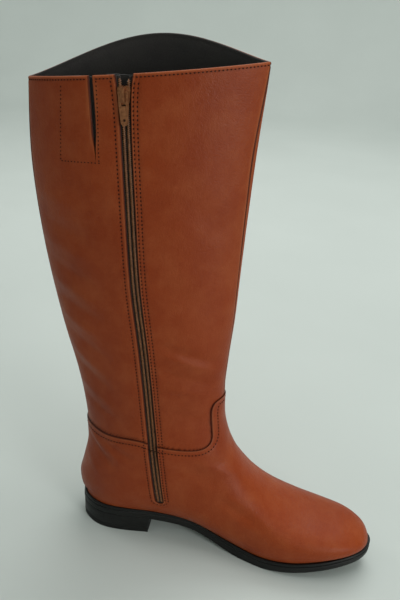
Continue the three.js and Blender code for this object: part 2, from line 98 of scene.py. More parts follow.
# Sections of the last and leg, fanned from the toe over the instep and up the shaft. The ones
# with back_z None stand on the feather line.
ON_FEATHER = None
SECTIONS = table("back_x back_z front_x front_z medial lateral broad swell blunt", [
    [237.4, ON_FEATHER, 237.4, 27.4, 0, 0, 0.45, 2.0, 0.5],
    [236.4, ON_FEATHER, 236.4, 31, 8, 7, 0.45, 2.0, 0.5],
    [233.5, ON_FEATHER, 232.6, 36, 16.5, 15, 0.43, 2.1, 0.5],
    [227, ON_FEATHER, 225, 40, 25, 23, 0.42, 2.2, 0.5],
    [215, ON_FEATHER, 212.5, 43.8, 33, 31, 0.4, 2.3, 0.5],
    [196, ON_FEATHER, 193, 47, 39, 37.5, 0.38, 2.3, 0.5],
    [173, ON_FEATHER, 169.5, 51.5, 42, 43, 0.36, 2.3, 0.5],
    [150, ON_FEATHER, 147, 60.8, 41, 45, 0.34, 2.3, 0.5],
    [126, ON_FEATHER, 127, 75.5, 37, 43, 0.32, 2.2, 0.5],
    [100, ON_FEATHER, 113, 92.5, 34, 39, 0.32, 2.2, 0.5],
    [72, ON_FEATHER, 102.5, 109, 33, 36.5, 0.34, 2.2, 0.5],
    [44, ON_FEATHER, 97, 123, 33.3, 35.5, 0.38, 2.2, 0.5],
    [16, ON_FEATHER, 94, 134.5, 34, 35.5, 0.41, 2.2, 0.5],
    [-8, ON_FEATHER, 92.8, 143.5, 34.5, 35.5, 0.44, 2.2, 0.5],
    [-31.4, ON_FEATHER, 92.2, 152, 34.8, 35.4, 0.46, 2.2, 0.5],
    [-38, 47, 91.8, 160, 34.3, 35, 0.47, 2.2, 0.5],
    [-34.5, 67, 91.3, 170, 33.5, 34.2, 0.48, 2.2, 0.5],
    [-30.5, 92, 91.5, 184, 33, 34, 0.49, 2.2, 0.52],
    [-32.5, 120, 92, 203, 33, 34.2, 0.5, 2.2, 0.55],
    [-41, 160, 93, 231, 33.5, 35, 0.5, 2.1, 0.6],
    [-57, 213, 93, 271, 34, 35.5, 0.5, 2.0, 0.66],
    [-72, 278, 93.3, 319, 33.5, 35, 0.5, 2.0, 0.72],
    [-81.5, 344, 94.2, 372, 32.5, 34, 0.5, 2.0, 0.8],
    [-83, 407, 96.5, 427, 31, 33, 0.5, 2.0, 0.88],
])
HALVINGS = 34           # of the search for the section through a place
HEEL_SECTION = 14
RISE_SECTION = 18
COLLAR_SECTION = 23

# Seams in the side view, from the back over the ankle and up to the tab in front.
MEDIAL_SEAM = [
    (-60, 114), (-30, 113.5), (-8, 112), (22, 115), (44, 111.5), (66, 110.5), (78, 111.5),
    (84.5, 115), (86.5, 121), (85, 131), (83.2, 143), (83.2, 150), (85.5, 155), (91, 157),
    (100, 157.5),
]
LATERAL_SEAM = [
    (-60, 112), (-30, 112), (-9.9, 110.4), (22, 112), (36, 110), (50, 107), (63, 104),
    (76, 104), (84, 106), (88.5, 112), (88.5, 122), (86.5, 136), (86, 146), (87.5, 153),
    (92, 156.5), (100, 157.5),
]
ZIP = table("z x", [
    [30, 49.5], [47, 46.8], [72, 42.8], [107, 37.6], [140, 32.8], [172, 28.4], [203, 23.9],
    [260, 14.6], [331, 6.9], [385, 1.6], [420, -1.6],
])
GORE_BACK, GORE_FRONT, GORE_FOOT = -51, -17, 352
SLIT = table("z x half", [
    [354, -20, 0.1], [370, -21.6, 1.2], [390, -23.5, 1.6], [420, -27.2, 1.4],
])
FRONT_SEAM_OVER = 3.4   # how far the outer panel wraps round to the inner side, in front
BACK_SEAM_OVER = 2.2    # and behind
COUNTER_EDGE = 40.5     # where the counter's leather ends on the outer side


# ---------- curves
def smooth(stations, values, at):
    """Smooth interpolation through unevenly spaced stations."""
    t = np.clip(at, stations[0], stations[-1])
    i = np.clip(np.searchsorted(stations, t) - 1, 0, len(stations) - 2)
    chord = np.diff(values) / np.diff(stations)
    slope = np.concatenate([chord[:1], (chord[:-1] + chord[1:]) / 2, chord[-1:]])
    span = stations[i + 1] - stations[i]
    s = (t - stations[i]) / span
    return (
        (2 * s**3 - 3 * s**2 + 1) * values[i]
        + (s**3 - 2 * s**2 + s) * span * slope[i]
        + (3 * s**2 - 2 * s**3) * values[i + 1]
        + (s**3 - s**2) * span * slope[i + 1]
    )


def step(low, high, at):
    """0 below low, 1 above high, smooth between."""
    t = np.clip((at - low) / (high - low), 0, 1)
    return t * t * (3 - 2 * t)


def spline(points, steps=8):
    """Points along a Catmull-Rom curve through the given points."""
    p = np.array(points, float)
    p = np.vstack([p[:1], p, p[-1:]])
    t = (np.arange(steps) / steps)[:, None]
    runs = []
    for a, b, c, d in zip(p, p[1:], p[2:], p[3:]):
        runs.append(0.5 * (
            2 * b + (c - a) * t + (2 * a - 5 * b + 4 * c - d) * t**2
            + (3 * b - a - 3 * c + d) * t**3
        ))
    return np.vstack([*runs, p[-1:]])


def unit(v):
    return v / np.linalg.norm(v, axis=-1, keepdims=True)


def bell(distance, width):
    """1 at distance 0, dying away over the width."""
    return np.exp(-((distance / width) ** 2))


def feather_z(x):
    return smooth(FEATHER["x"], FEATHER["z"], x)


def underside_z(x):
    return np.maximum(0, smooth(UNDERSIDE["x"], UNDERSIDE["z"], x))


def zip_x(z):
    return smooth(ZIP["z"], ZIP["x"], z)


def shrink(inset):
    return 1 - 2 * inset / SOLE_LENGTH


def turn(x, inset):
    """Position along the outline as an angle, so that its two ends come out round."""
    full = MIDDLE + (x - MIDDLE) / shrink(inset)
    return np.arccos(np.clip(1 - 2 * (full - HEEL_BACK) / SOLE_LENGTH, -1, 1))


OUTLINE_TURNS = turn(OUTLINE["x"], 0)


def outline_half(side, x, inset):
    at = turn(x, inset)
    half = np.where(
        side > 0,
        smooth(OUTLINE_TURNS, OUTLINE["lateral"], at),
        smooth(OUTLINE_TURNS, OUTLINE["medial"], at),
    )
    return (1 - inset / MEAN_HALF) * half


on_feather = np.isnan(SECTIONS["back_z"])
SECTIONS["back_z"][on_feather] = feather_z(SECTIONS["back_x"][on_feather])


def section(name, k):
    return smooth(np.arange(len(SECTIONS[name])), SECTIONS[name], k)


def skin(side, k, h, depth):
    """Points of the boot on section k, a fraction h from its back to its front, depth inside."""
    side, k, h, depth = np.broadcast_arrays(*(np.asarray(v, float) for v in (side, k, h, depth)))
    back_x, back_z = section("back_x", k), section("back_z", k)
    front_x, front_z = section("front_x", k), section("front_z", k)
    broad, swell, blunt = section("broad", k), section("swell", k), section("blunt", k)
    length = np.hypot(front_x - back_x, front_z - back_z)
    along_x, along_z = (front_x - back_x) / length, (front_z - back_z) / length

    on_sole = np.clip(HEEL_SECTION + 1 - k, 0, 1)
    upright = on_sole * np.maximum(0, along_z) ** 8
    tip = depth * (1 + 1.2 * (blunt - 0.5))
    front_slide = np.minimum(tip, length * 0.8)
    tucked = MIDDLE + (back_x - MIDDLE) * shrink(depth)
    x0 = on_sole * tucked + (1 - on_sole) * (back_x + tip * along_x)
    z0 = back_z + (1 - on_sole) * tip * along_z
    x1 = front_x - front_slide * along_x + upright * (tucked - back_x)
    z1 = front_z - front_slide * along_z

    foot = np.where(k <= HEEL_SECTION, outline_half(side, x0, WELT_MARGIN + depth), 0)
    foot = np.maximum(foot, 0)
    width = np.where(side > 0, section("lateral", k), section("medial", k))
    widest = np.maximum(np.maximum(width - depth, foot * 1.001), 1e-6)
    below = h < broad
    reach = np.where(below, (broad - h) / broad, (h - broad) / (1 - broad))
    close = np.where(below, 1 - (foot / widest) ** (1 / blunt), 1)
    half = widest * np.maximum(0, 1 - close * reach**swell) ** blunt

    climb = np.clip((k - RISE_SECTION) / (COLLAR_SECTION - RISE_SECTION), 0, None)
    arc = np.maximum(0, np.sin(np.pi * np.clip(h, 0, 1))) ** 1.2
    rise = np.where(side > 0, COLLAR_RISE * climb**2 * arc, 0)
    return np.stack([x0 + (x1 - x0) * h, side * half, z0 + (z1 - z0) * h + rise], -1)


class Spots:
    """Places on the skin: side, section k and fraction h, with their x, y, z."""

    def __init__(self, side, k, h):
        self.side, self.k, self.h = np.broadcast_arrays(side, k, h)
        self.x, self.y, self.z = np.moveaxis(skin(self.side, self.k, self.h, 0), -1, 0)

    def points(self, depth):
        """Their places in millimetres, depth below the creased surface."""
        return skin(self.side, self.k, self.h, depth + relief(self))

    def normals(self, depth=0):
        """Outward directions there."""
        e = 1e-3
        inside = np.clip(self.h, 2 * e, 1 - 2 * e)
        low = np.clip(self.k, 0.1, COLLAR_SECTION - e)
        across = skin(self.side, low, inside + e, depth) - skin(self.side, low, inside - e, depth)
        up = skin(self.side, low + e, inside, depth) - skin(self.side, low - e, inside, depth)
        return unit(np.cross(across, up)) * np.where(self.side > 0, -1, 1)[..., None]


def from_section(k, x, z):
    """The way from section k's back to x, z, and that to its front, in the side view."""
    back_x, back_z = section("back_x", k), section("back_z", k)
    return x - back_x, z - back_z, section("front_x", k) - back_x, section("front_z", k) - back_z


def in_side_view(side, x, z):
    """The places of the skin that show at x, z in the side view."""
    x, z = np.broadcast_arrays(np.asarray(x, float), np.asarray(z, float))
    low, high = np.zeros_like(x), np.full_like(x, COLLAR_SECTION)
    for _ in range(HALVINGS):
        k = (low + high) / 2
        dx, dz, run_x, run_z = from_section(k, x, z)
        above = run_x * dz > run_z * dx
        low, high = np.where(above, k, low), np.where(above, high, k)
    dx, dz, run_x, run_z = from_section(low, x, z)
    return Spots(side, low, (dx * run_x + dz * run_z) / (run_x**2 + run_z**2))


# ---------- creases and seams
# Soft troughs (depth above 0) and ridges (below 0) of the leather, each from one point to
# another in the side view, with the half width over which it dies away.
CREASES = table("side x0 z0 x1 z1 half depth", [
    # ripples across the calf behind the zip
    [-1, -72, 322, -30, 316, 9, -0.9], [-1, -72, 302, -28, 294, 8, 1.1],
    [-1, -68, 286, -22, 276, 8, -1.1], [-1, -66, 268, -20, 256, 7, 1.3],
    [-1, -61, 253, -22, 240, 7, -1.2], [-1, -58, 237, -14, 224, 7, 1.4],
    [-1, -53, 222, -16, 208, 6, -1.2], [-1, -50, 206, -8, 190, 6, 1.3],
    [-1, -46, 192, -10, 174, 6, -1.1], [-1, -43, 178, -2, 158, 6, 1.2],
    [-1, -38, 160, 0, 142, 6, -0.9], [-1, -37, 146, 6, 128, 5, 1.0],
    # folds in front of the zip, over the ankle
    [-1, 30, 214, 84, 196, 5, 1.2], [-1, 38, 204, 86, 186, 4, -1.2],
    [-1, 34, 190, 80, 176, 5, 1.2], [-1, 40, 172, 78, 166, 4, -1.0],
    [-1, 46, 150, 80, 138, 7, 0.8], [-1, 52, 330, 88, 300, 14, 0.7],
    [-1, 28, 268, 70, 246, 12, 0.6],
    # folds below the ankle seam, running down and forward from the back
    [-1, -32, 106, 2, 78, 5, 1.4], [-1, -26, 108, 12, 86, 5, -1.0],
    [-1, -34, 92, -12, 66, 5, -0.8], [-1, -14, 106, 22, 92, 4, 1.0],
    # bend over the instep and the ball
    [-1, 60, 100, 108, 70, 10, 0.9], [-1, 84, 96, 116, 84, 5, -1.0],
    [-1, 96, 66, 142, 44, 7, 1.2], [-1, 120, 30, 160, 40, 10, 0.6],
    # the outer side
    [1, -74, 330, -36, 312, 10, 1.2], [1, -70, 306, -30, 292, 9, -1.5],
    [1, -66, 286, -24, 268, 9, 1.6], [1, -60, 262, -18, 246, 9, -1.2],
    [1, -56, 240, -14, 222, 8, 1.1], [1, -48, 206, 0, 186, 8, -0.9],
    [1, -44, 184, 6, 164, 8, 1.0], [1, -36, 150, 20, 138, 7, -0.8],
    [1, 20, 236, 86, 226, 9, 0.9], [1, 24, 196, 84, 184, 8, 0.9],
    [1, 30, 180, 84, 168, 7, -0.7], [1, 28, 160, 80, 140, 9, 0.8],
    [1, -30, 106, 6, 66, 5, 1.4], [1, -22, 106, 14, 76, 5, -0.9],
    [1, 62, 98, 110, 66, 10, 0.8], [1, 104, 60, 150, 40, 12, 0.8],
])


def relief(at):
    """Depth of the creases at these places."""
    total = np.zeros(np.shape(at.x))
    for side, x0, z0, x1, z1, half, depth in zip(*CREASES.values()):
        run_x, run_z = x1 - x0, z1 - z0
        along = ((at.x - x0) * run_x + (at.z - z0) * run_z) / (run_x**2 + run_z**2)
        nearest = np.clip(along, 0, 1)
        away = np.hypot(at.x - x0 - nearest * run_x, at.z - z0 - nearest * run_z)
        bell = np.exp(-((away / half) ** 2) * 2) * (0.35 + 0.65 * np.sin(np.pi * nearest))
        total = total + np.where(at.side == side, depth * bell, 0)
    calm = step(3, 16, off_slot(at)) * step(2, 10, np.abs(from_seam(at)))
    ends = step(2, 12, at.z - feather_z(at.x)) * step(0, 14, np.abs(at.y))
    return total * (0.25 + 0.75 * calm) * ends


def signed_distance(line, x, z):
    """Distance to a polyline, above 0 on the right of its direction."""
    shape = np.shape(x)
    p = np.stack([np.ravel(x), np.ravel(z)], -1)
    best, sign = np.full(len(p), 1e9), np.ones(len(p))
    for a, b in zip(line, line[1:]):
        run = b - a
        t = np.clip((p - a) @ run / (run @ run), 0, 1)
        away = p - a - t[:, None] * run
        distance = np.hypot(*away.T)
        right = away[:, 0] * run[1] - away[:, 1] * run[0]
        closer = distance < best - 1e-9
        sign = np.where(closer, np.where(right >= 0, 1, -1), sign)
        best = np.where(closer, distance, best)
    return (best * sign).reshape(shape)


FAR_AHEAD = np.array([[400.0, 157.5]])
SEAM_LINES = {
    side: np.vstack([spline(points), FAR_AHEAD])
    for side, points in ((MEDIAL, MEDIAL_SEAM), (LATERAL, LATERAL_SEAM))
}


def from_seam(at):
    """Distance from the ankle seam, above 0 on the foot."""
    return np.where(
        at.side > 0,
        signed_distance(SEAM_LINES[LATERAL], at.x, at.z),
        signed_distance(SEAM_LINES[MEDIAL], at.x, at.z),
    )


def collar_z(side, x):
    """Height of the collar at x."""
    back, front = skin(side, COLLAR_SECTION, 0, 0), skin(side, COLLAR_SECTION, 1, 0)
    h = (x - back[..., 0]) / (front[..., 0] - back[..., 0])
    return skin(side, COLLAR_SECTION, np.clip(h, 0, 1), 0)[..., 2]


ZIP_TOP = float(collar_z(MEDIAL, zip_x(420)))
SLIDER_Z = ZIP_TOP - SLIDER_DROP


def slot_half(z):
    return SLOT_HALF + SLOT_FLARE * np.exp(-np.maximum(0, ZIP_TOP - z) / SLOT_FLARE_RUN)


def off_slot(at):
    """Distance outside the edge of the zip's slot, which has a round lower end."""
    end = SLOT_END + SLOT_HALF
    away = np.hypot(at.x - zip_x(at.z), np.minimum(0, at.z - end))
    return np.where(at.side > 0, 99, away - slot_half(at.z))


def off_slit(at):
    """Distance outside the edge of the slit over the gore."""
    middle = smooth(SLIT["z"], SLIT["x"], at.z)
    half = smooth(SLIT["z"], SLIT["half"], at.z)
    away = np.hypot(at.x - middle, np.minimum(0, at.z - SLIT["z"][0]))
    return np.where(at.side > 0, 99, away - half)


def slit_edge(at):
    """The same for its rounded edge, which fades out towards the slit's lower end."""
    return off_slit(at) + 1.6 * (1 - step(SLIT["z"][0], SLIT["z"][0] + 22, at.z))


def from_slit_middle(at):
    middle = smooth(SLIT["z"], SLIT["x"], at.z)
    return np.where((at.side < 0) & (at.z > SLIT["z"][0] - 6), at.x - middle, 99)


def below_collar(at):
    return skin(at.side, COLLAR_SECTION, at.h, 0)[..., 2] - at.z


def behind_counter_edge(at):
    return np.where(at.side > 0, COUNTER_EDGE - at.x, -99)


def inside_panels(at):
    """Distance to the inner side of the seams down the front and the back of the shaft."""
    over = np.where(at.h > 0.5, FRONT_SEAM_OVER, BACK_SEAM_OVER)
    return -at.y - over * step(-10, 80, below_collar(at))


def outside_panels(at):
    return -inside_panels(at)


def rounded(distance, radius=1.0, drop=0.55):
    """How far a leather's surface falls towards its edge."""
    t = np.clip(1 - distance / radius, 0, 1)
    return drop * (1 - np.sqrt(1 - t * t))


STITCH_INSET = 5.0      # from the ankle seam to its stitches
ZIP_FRONT_ROWS = (2.0, 5.0)
ZIP_REAR_ROW = 4.0
COUNTER_ROWS = (2.2, 4.6)
COLLAR_ROW = 2.6
GROOVE_HALF = 0.6


def before_slot(at):
    return np.where(at.x > zip_x(at.z), off_slot(at), -99)


def behind_slot(at):
    return np.where(at.x < zip_x(at.z), off_slot(at), -99)


# Lines of stitches, as fields and the levels at which the thread lies.
FOOT_SEWING = [
    (from_seam, STITCH_INSET), (behind_slot, ZIP_REAR_ROW),
    *((before_slot, row) for row in ZIP_FRONT_ROWS),
]
SHAFT_SEWING = [*FOOT_SEWING[1:], (below_collar, COLLAR_ROW)]


def sewn(at, lines):
    """1 on a line of stitches, 0 away from it."""
    near = np.zeros(np.shape(at.x))
    for field, level in lines:
        near = np.maximum(near, bell(field(at) - level, GROOVE_HALF))
    return near


def foot_depth(at):
    """Depth of the foot's leather: proud over the ankle seam and behind the counter's edge."""
    lap = 1 - step(SEAM_LAP + 2, 26, from_seam(at))
    behind = behind_counter_edge(at)
    counter = np.where(behind > 0, 1 - step(8, 30, behind), 0)
    return -SEAM_PROUD * lap - 0.8 * counter * (1 - 0.6 * lap)


def leather_depth(at):
    """Depth of the leather that shows."""
    return np.where(from_seam(at) > 0, foot_depth(at), 0)


# ---------- meshes
EDGE_ROWS = (0.12, 0.35, 0.7, 1.1)
SNAP = 0.02             # a point this close to a cut lies on it
SHARP_ANGLE = 48


def quads(rows, wide, closed=False, start=0):
    """Faces between rows of wide points. The ends of a closed row meet."""
    return [
        (a + i, a + (i + 1) % wide, a + wide + (i + 1) % wide, a + wide + i)
        for a in range(start, start + (rows - 1) * wide, wide)
        for i in range(wide if closed else wide - 1)
    ]


def tube_faces(rings, sides, start=0):
    """Faces of a tube of rings of points, with a cap at each end."""
    last = start + (rings - 1) * sides
    caps = [tuple(range(start, start + sides))[::-1], tuple(range(last, last + sides))]
    return quads(rings, sides, True, start) + caps


def in_scene(name, data):
    """A new object in the scene."""
    made = bpy.data.objects.new(name, data)
    bpy.context.scene.collection.objects.link(made)
    return made


def mesh_piece(name, points, faces, material, slot, body="boot", stands_for=(), **numbers):
    """A piece of the boot from points in millimetres, with a float attribute per keyword."""
    mesh = bpy.data.meshes.new(name)
    mesh.from_pydata((np.asarray(points) * MM).tolist(), [], [list(f) for f in faces])
    for key, values in numbers.items():
        layer = mesh.attributes.new(key, "FLOAT", "POINT")
        layer.data.foreach_set("value", np.asarray(values, np.float32))
    work = bmesh.new()
    work.from_mesh(mesh)
    bmesh.ops.remove_doubles(work, verts=work.verts, dist=2e-6)
    bmesh.ops.dissolve_degenerate(work, edges=work.edges, dist=1e-6)
    bmesh.ops.recalc_face_normals(work, faces=work.faces)
    work.to_mesh(mesh)
    work.free()
    mesh.shade_smooth()
    mesh.set_sharp_from_angle(angle=math.radians(SHARP_ANGLE))
    piece = in_scene(name, mesh)
    mesh.materials.append(material)
    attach(piece, body)
    if stands_for:
        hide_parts(*stands_for)


class Sheet:
    """A patch of the skin: faces over points that are rows of side, section and fraction."""

    def __init__(self, points, faces):
        self.points, self.faces = points, faces

    def spots(self):
        return Spots(*self.points.T)

    def cut(self, field, level=0.0):
        """Divides the faces along the line where field has this level."""
        value = field(self.spots()) - level
        value[np.abs(value) < SNAP] = 0
        sizes = np.array([len(f) for f in self.faces])
        starts = np.cumsum(sizes) - sizes
        around = value[np.concatenate(self.faces)]
        low, high = np.minimum.reduceat(around, starts), np.maximum.reduceat(around, starts)
        mixed = set(np.nonzero((low < 0) & (high > 0))[0].tolist())
        fresh = {}
        for i in mixed:
            face = self.faces[i]
            for a, b in zip(face, face[1:] + face[:1]):
                if value[a] * value[b] < 0:
                    fresh.setdefault((min(a, b), max(a, b)), len(self.points) + len(fresh))
        if not fresh:
            return self
        ends = np.array(list(fresh))
        a, b = self.points[ends[:, 0]], self.points[ends[:, 1]]
        va, vb = value[ends[:, 0]], value[ends[:, 1]]
        for _ in range(3):
            made = a + (va / (va - vb))[:, None] * (b - a)
            v = field(Spots(*made.T)) - level
            on_a = v * va > 0
            a, va = np.where(on_a[:, None], made, a), np.where(on_a, v, va)
            b, vb = np.where(on_a[:, None], b, made), np.where(on_a, vb, v)
        self.points = np.vstack([self.points, made])
        faces = []
        for i, face in enumerate(self.faces):
            if i not in mixed:
                faces.append(face)
                continue
            parts = ([], [])
            for a, b in zip(face, face[1:] + face[:1]):
                for part, way in zip(parts, (1, -1)):
                    if value[a] * way >= 0:
                        part.append(a)
                    if value[a] * value[b] < 0:
                        part.append(fresh[min(a, b), max(a, b)])
            faces += [tuple(p) for p in parts if len(p) > 2]
        self.faces = faces
        return self

    def keep(self, field, level=0.0):
        """Leaves only the faces where field is above this level."""
        middles = np.array([self.points[list(f)].mean(0) for f in self.faces])
        wanted = field(Spots(*middles.T)) > level
        self.faces = [f for f, w in zip(self.faces, wanted) if w]
        return self

    def trim(self, field, level=0.0, rows=EDGE_ROWS):
        """Cuts off what is below the level, and adds rows of points beside the new edge."""
        self.cut(field, level).keep(field, level)
        for row in rows:
            self.cut(field, level + row)
        return self

    def solid(self, outer, inner):
        """Points and faces of the closed solid between two depths, and its outer spots."""
        used = np.unique(np.concatenate(self.faces))
        spots = Spots(*self.points[used].T)
        key = np.round(np.stack([spots.x, spots.y, spots.z], -1) / 2e-3).astype(int)
        first, same = np.unique(key, axis=0, return_index=True, return_inverse=True)[1:]
        lookup = np.full(len(self.points), -1)
        lookup[used] = same.ravel()
        spots = Spots(*self.points[used[first]].T)
        faces = []
        for face in self.faces:
            ids = [int(lookup[v]) for v in face]
            ids = [v for v, before in zip(ids, ids[-1:] + ids[:-1]) if v != before]
            if len(ids) > 2:
                faces.append(ids)
        count = len(first)
        edges = {(a, b) for f in faces for a, b in zip(f, f[1:] + f[:1])}
        walls = [(b, a, a + count, b + count) for a, b in edges if (b, a) not in edges]
        inside = [[v + count for v in reversed(f)] for f in faces]
        points = np.vstack([spots.points(outer(spots)), spots.points(inner(spots))])
        return points, faces + walls + inside, spots


def whole_sheet(pitch, columns, sides=(MEDIAL, LATERAL), lowest=0, collar_rows=()):
    """The skin from section lowest to the collar as a grid of quads about pitch apart."""
    ks = []
    for i in range(lowest, COLLAR_SECTION):
        ends = [skin(MEDIAL, i + j, h, 0) for j in (0, 1) for h in (0, 1)]
        span = max(math.dist(ends[0], ends[2]), math.dist(ends[1], ends[3]))
        count = max(1, math.ceil(span / pitch))
        ks += [i + j / count for j in range(count)]
    top = COLLAR_SECTION - 1
    span = math.dist(skin(MEDIAL, top, 0, 0), skin(MEDIAL, COLLAR_SECTION, 0, 0))
    extra = [COLLAR_SECTION - row / span for row in (*collar_rows, 0)]
    ks = [k for k in ks if k < min(extra) - 0.6 * pitch / span] + sorted(extra)
    hs = (1 - np.cos(np.pi * np.arange(columns + 1) / columns)) / 2
    rows, wide = len(ks), len(hs)
    points, faces = [], []
    for side in sides:
        start = len(points) * rows * wide
        grid_k, grid_h = np.meshgrid(ks, hs, indexing="ij")
        points.append(np.stack([np.full(grid_k.size, side), grid_k.ravel(), grid_h.ravel()], -1))
        faces += [q if side < 0 else q[::-1] for q in quads(rows, wide, start=start)]
    return Sheet(np.vstack(points), faces)


# ---------- materials
def colour(red, green, blue):
    """Linear colour from one given as 0 to 255 in sRGB."""
    def linear(v):
        v /= 255
        return v / 12.92 if v <= 0.04045 else ((v + 0.055) / 1.055) ** 2.4
    return (*map(linear, (red, green, blue)), 1.0)


class Look:
    """A procedural material on one principled shader, with its nodes wired by short calls."""

    def __init__(self, name, roughness, **inputs):
        self.material = bpy.data.materials.new(name)
        self.material.use_nodes = True
        self.tree = self.material.node_tree
        self.shader = self.tree.nodes["Principled BSDF"]
        self.shader.inputs["Roughness"].default_value = roughness
        for key, value in inputs.items():
            self.shader.inputs[key.replace("_", " ")].default_value = value
        self.place = self.node("ShaderNodeTexCoord").outputs["Object"]
        self.bumps = None

    def link(self, source, target):
        if hasattr(source, "is_output"):
            self.tree.links.new(source, target)
        else:
            target.default_value = source

    def node(self, kind, sockets=None, **values):
        """A new node with its properties by name, and its inputs set or linked by name or place."""
        made = self.tree.nodes.new(kind)
        for key, value in values.items():
            setattr(made, key, value)
        for key, source in (sockets or {}).items():
            self.link(source, made.inputs[key])
        return made

    def stretched(self, stretch):
        """The object's own coordinates, stretched."""
        return self.node("ShaderNodeMapping", {"Scale": stretch, "Vector": self.place}).outputs[0]

    def noise(self, scale, detail=3.0, stretch=(1, 1, 1), roughness=0.5):
        return self.node("ShaderNodeTexNoise", {
            "Vector": self.stretched(stretch), "Scale": scale, "Detail": detail,
            "Roughness": roughness,
        }).outputs["Fac"]

    def cells(self, scale, feature="F1", stretch=(1, 1, 1)):
        sockets = {"Vector": self.stretched(stretch), "Scale": scale}
        return self.node("ShaderNodeTexVoronoi", sockets, feature=feature).outputs["Distance"]

    def waves(self, scale, direction="Z", distortion=0.0):
        sockets = {"Vector": self.place, "Scale": scale, "Distortion": distortion}
        return self.node("ShaderNodeTexWave", sockets, bands_direction=direction).outputs["Fac"]

    def number(self, name):
        return self.node("ShaderNodeAttribute", attribute_name=name).outputs["Fac"]

    def span(self, value, low, high, to_low=0.0, to_high=1.0):
        return self.node("ShaderNodeMapRange", {
            "Value": value, "From Min": low, "From Max": high, "To Min": to_low, "To Max": to_high,
        }).outputs["Result"]

    def times(self, a, b):
        return self.node("ShaderNodeMath", {0: a, 1: b}, operation="MULTIPLY").outputs[0]

    def mix(self, share, a, b):
        sockets = {"Factor": share, 6: a, 7: b}
        return self.node("ShaderNodeMix", sockets, data_type="RGBA").outputs[2]

    def bump(self, height, distance, strength=1.0):
        sockets = {"Height": height, "Distance": distance, "Strength": strength}
        if self.bumps is not None:
            sockets["Normal"] = self.bumps
        self.bumps = self.node("ShaderNodeBump", sockets).outputs[0]

    def done(self, base, roughness=None):
        self.link(base, self.shader.inputs["Base Color"])
        if roughness is not None:
            self.link(roughness, self.shader.inputs["Roughness"])
        if self.bumps is not None:
            self.link(self.bumps, self.shader.inputs["Normal"])
        return self.material


def leather_look(name, dark, main, light):
    """Full-grain leather: fine pebble, faint pores, mottled dye, dark raw edges, painted shade in
    seams, stitch grooves and on inner faces, and a painted highlight on rounded edges.
    """
    look = Look(name, 0.42, Specular_IOR_Level=0.16)
    cloudy = look.noise(14, 4, (1, 1, 0.7))
    patches = look.noise(55, 5, roughness=0.6)
    streaks = look.noise(160, 4, (1, 1, 0.35))
    pebble = look.cells(950)
    creased = look.cells(380, "SMOOTH_F1", (1, 1, 0.75))
    pores = look.noise(2600, 2)
    base = look.mix(look.span(cloudy, 0.2, 0.8, 0.3, 1), dark, main)
    base = look.mix(look.span(patches, 0.4, 0.8, 0, 0.3), base, light)
    base = look.mix(look.span(streaks, 0.5, 0.8, 0, 0.16), base, dark)
    base = look.mix(look.span(pebble, 0.2, 0.75, 0, 0.14), base, dark)
    # painted highlight: lighter leather on the collar's rim and on the shoulders of rounded edges
    base = look.mix(look.times(look.number("worn"), 0.6), base, light)
    # painted shade: near black mixed in along seams, slot and slit edges, stitch grooves and inner
    # faces; on the cut walls it is the leather's real dark raw edge
    edge = tuple(v * 0.18 for v in dark[:3]) + (1.0,)
    base = look.mix(look.times(look.number("edge"), 0.88), base, edge)
    look.bump(look.span(cloudy, 0, 1), 0.0012, 0.5)
    look.bump(creased, 0.0004, 0.35)
    look.bump(look.span(pebble, 0, 1, 1, 0), 0.00022, 0.6)
    look.bump(pores, 0.0001, 0.5)
    rough = look.span(look.noise(70, 4), 0.3, 0.7, 0.36, 0.5)
    return look.done(base, rough)


def woven_look(name, dark, light, pitch):
    """Woven or knitted tape: ribs across ribs."""
    look = Look(name, 0.8, Sheen_Weight=0.25, Sheen_Roughness=0.5)
    across = look.waves(1 / pitch / 3.2, "Z", 0.6)
    along = look.waves(1 / pitch / 3.2, "X", 0.6)
    weave = look.times(across, along)
    base = look.mix(look.span(weave, 0.0, 0.8), dark, light)
    base = look.mix(look.span(look.noise(300, 4), 0.4, 0.8, 0, 0.4), base, dark)
    look.bump(weave, 0.00025, 0.8)
    return look.done(base)


def lining_look(name, dark, light):
    look = Look(name, 0.72, Sheen_Weight=0.12, Sheen_Roughness=0.5)
    fine = look.noise(1500, 3)
    base = look.mix(look.span(look.noise(40, 4), 0.3, 0.7), dark, light)
    look.bump(fine, 0.00015, 0.6)
    look.bump(look.cells(700), 0.00015, 0.4)
    return look.done(base, look.span(fine, 0.3, 0.7, 0.64, 0.8))


def rubber_look(name, dark, light, roughness):
    """Moulded rubber: near black, with scuffs and a little dust low down."""
    look = Look(name, roughness, Specular_IOR_Level=0.3)
    scuffs = look.noise(220, 5, (0.35, 0.35, 1.6), 0.65)
    specks = look.noise(1800, 2)
    base = look.mix(look.span(look.noise(30, 3), 0.3, 0.7), dark, light)
    dust = (0.05, 0.048, 0.042, 1)
    base = look.mix(look.span(scuffs, 0.58, 0.8, 0, 0.3), base, dust)
    look.bump(scuffs, 0.00015, 0.5)
    look.bump(specks, 0.00008, 0.5)
    return look.done(base, look.span(scuffs, 0.35, 0.7, roughness - 0.07, roughness + 0.15))


def metal_look(name, dark, light):
    """Antique brass plating: dull, darker in patches, with fine brush marks."""
    look = Look(name, 0.4, Metallic=0.75)
    patina = look.noise(420, 5, roughness=0.65)
    brushed = look.noise(900, 2, (1, 1, 0.12))
    base = look.mix(look.span(patina, 0.35, 0.7), light, dark)
    look.bump(brushed, 0.00006, 0.6)
    return look.done(base, look.span(patina, 0.3, 0.75, 0.28, 0.52))


def plastic_look(name, dark, light):
    """Nylon coil: smooth monofilament, slightly uneven in tone."""
    look = Look(name, 0.38, Specular_IOR_Level=0.5, Subsurface_Weight=0.05)
    base = look.mix(look.span(look.noise(500, 4), 0.35, 0.7), dark, light)
    look.bump(look.noise(2400, 2), 0.00005, 0.5)
    return look.done(base, look.span(look.noise(900, 3), 0.3, 0.7, 0.32, 0.48))


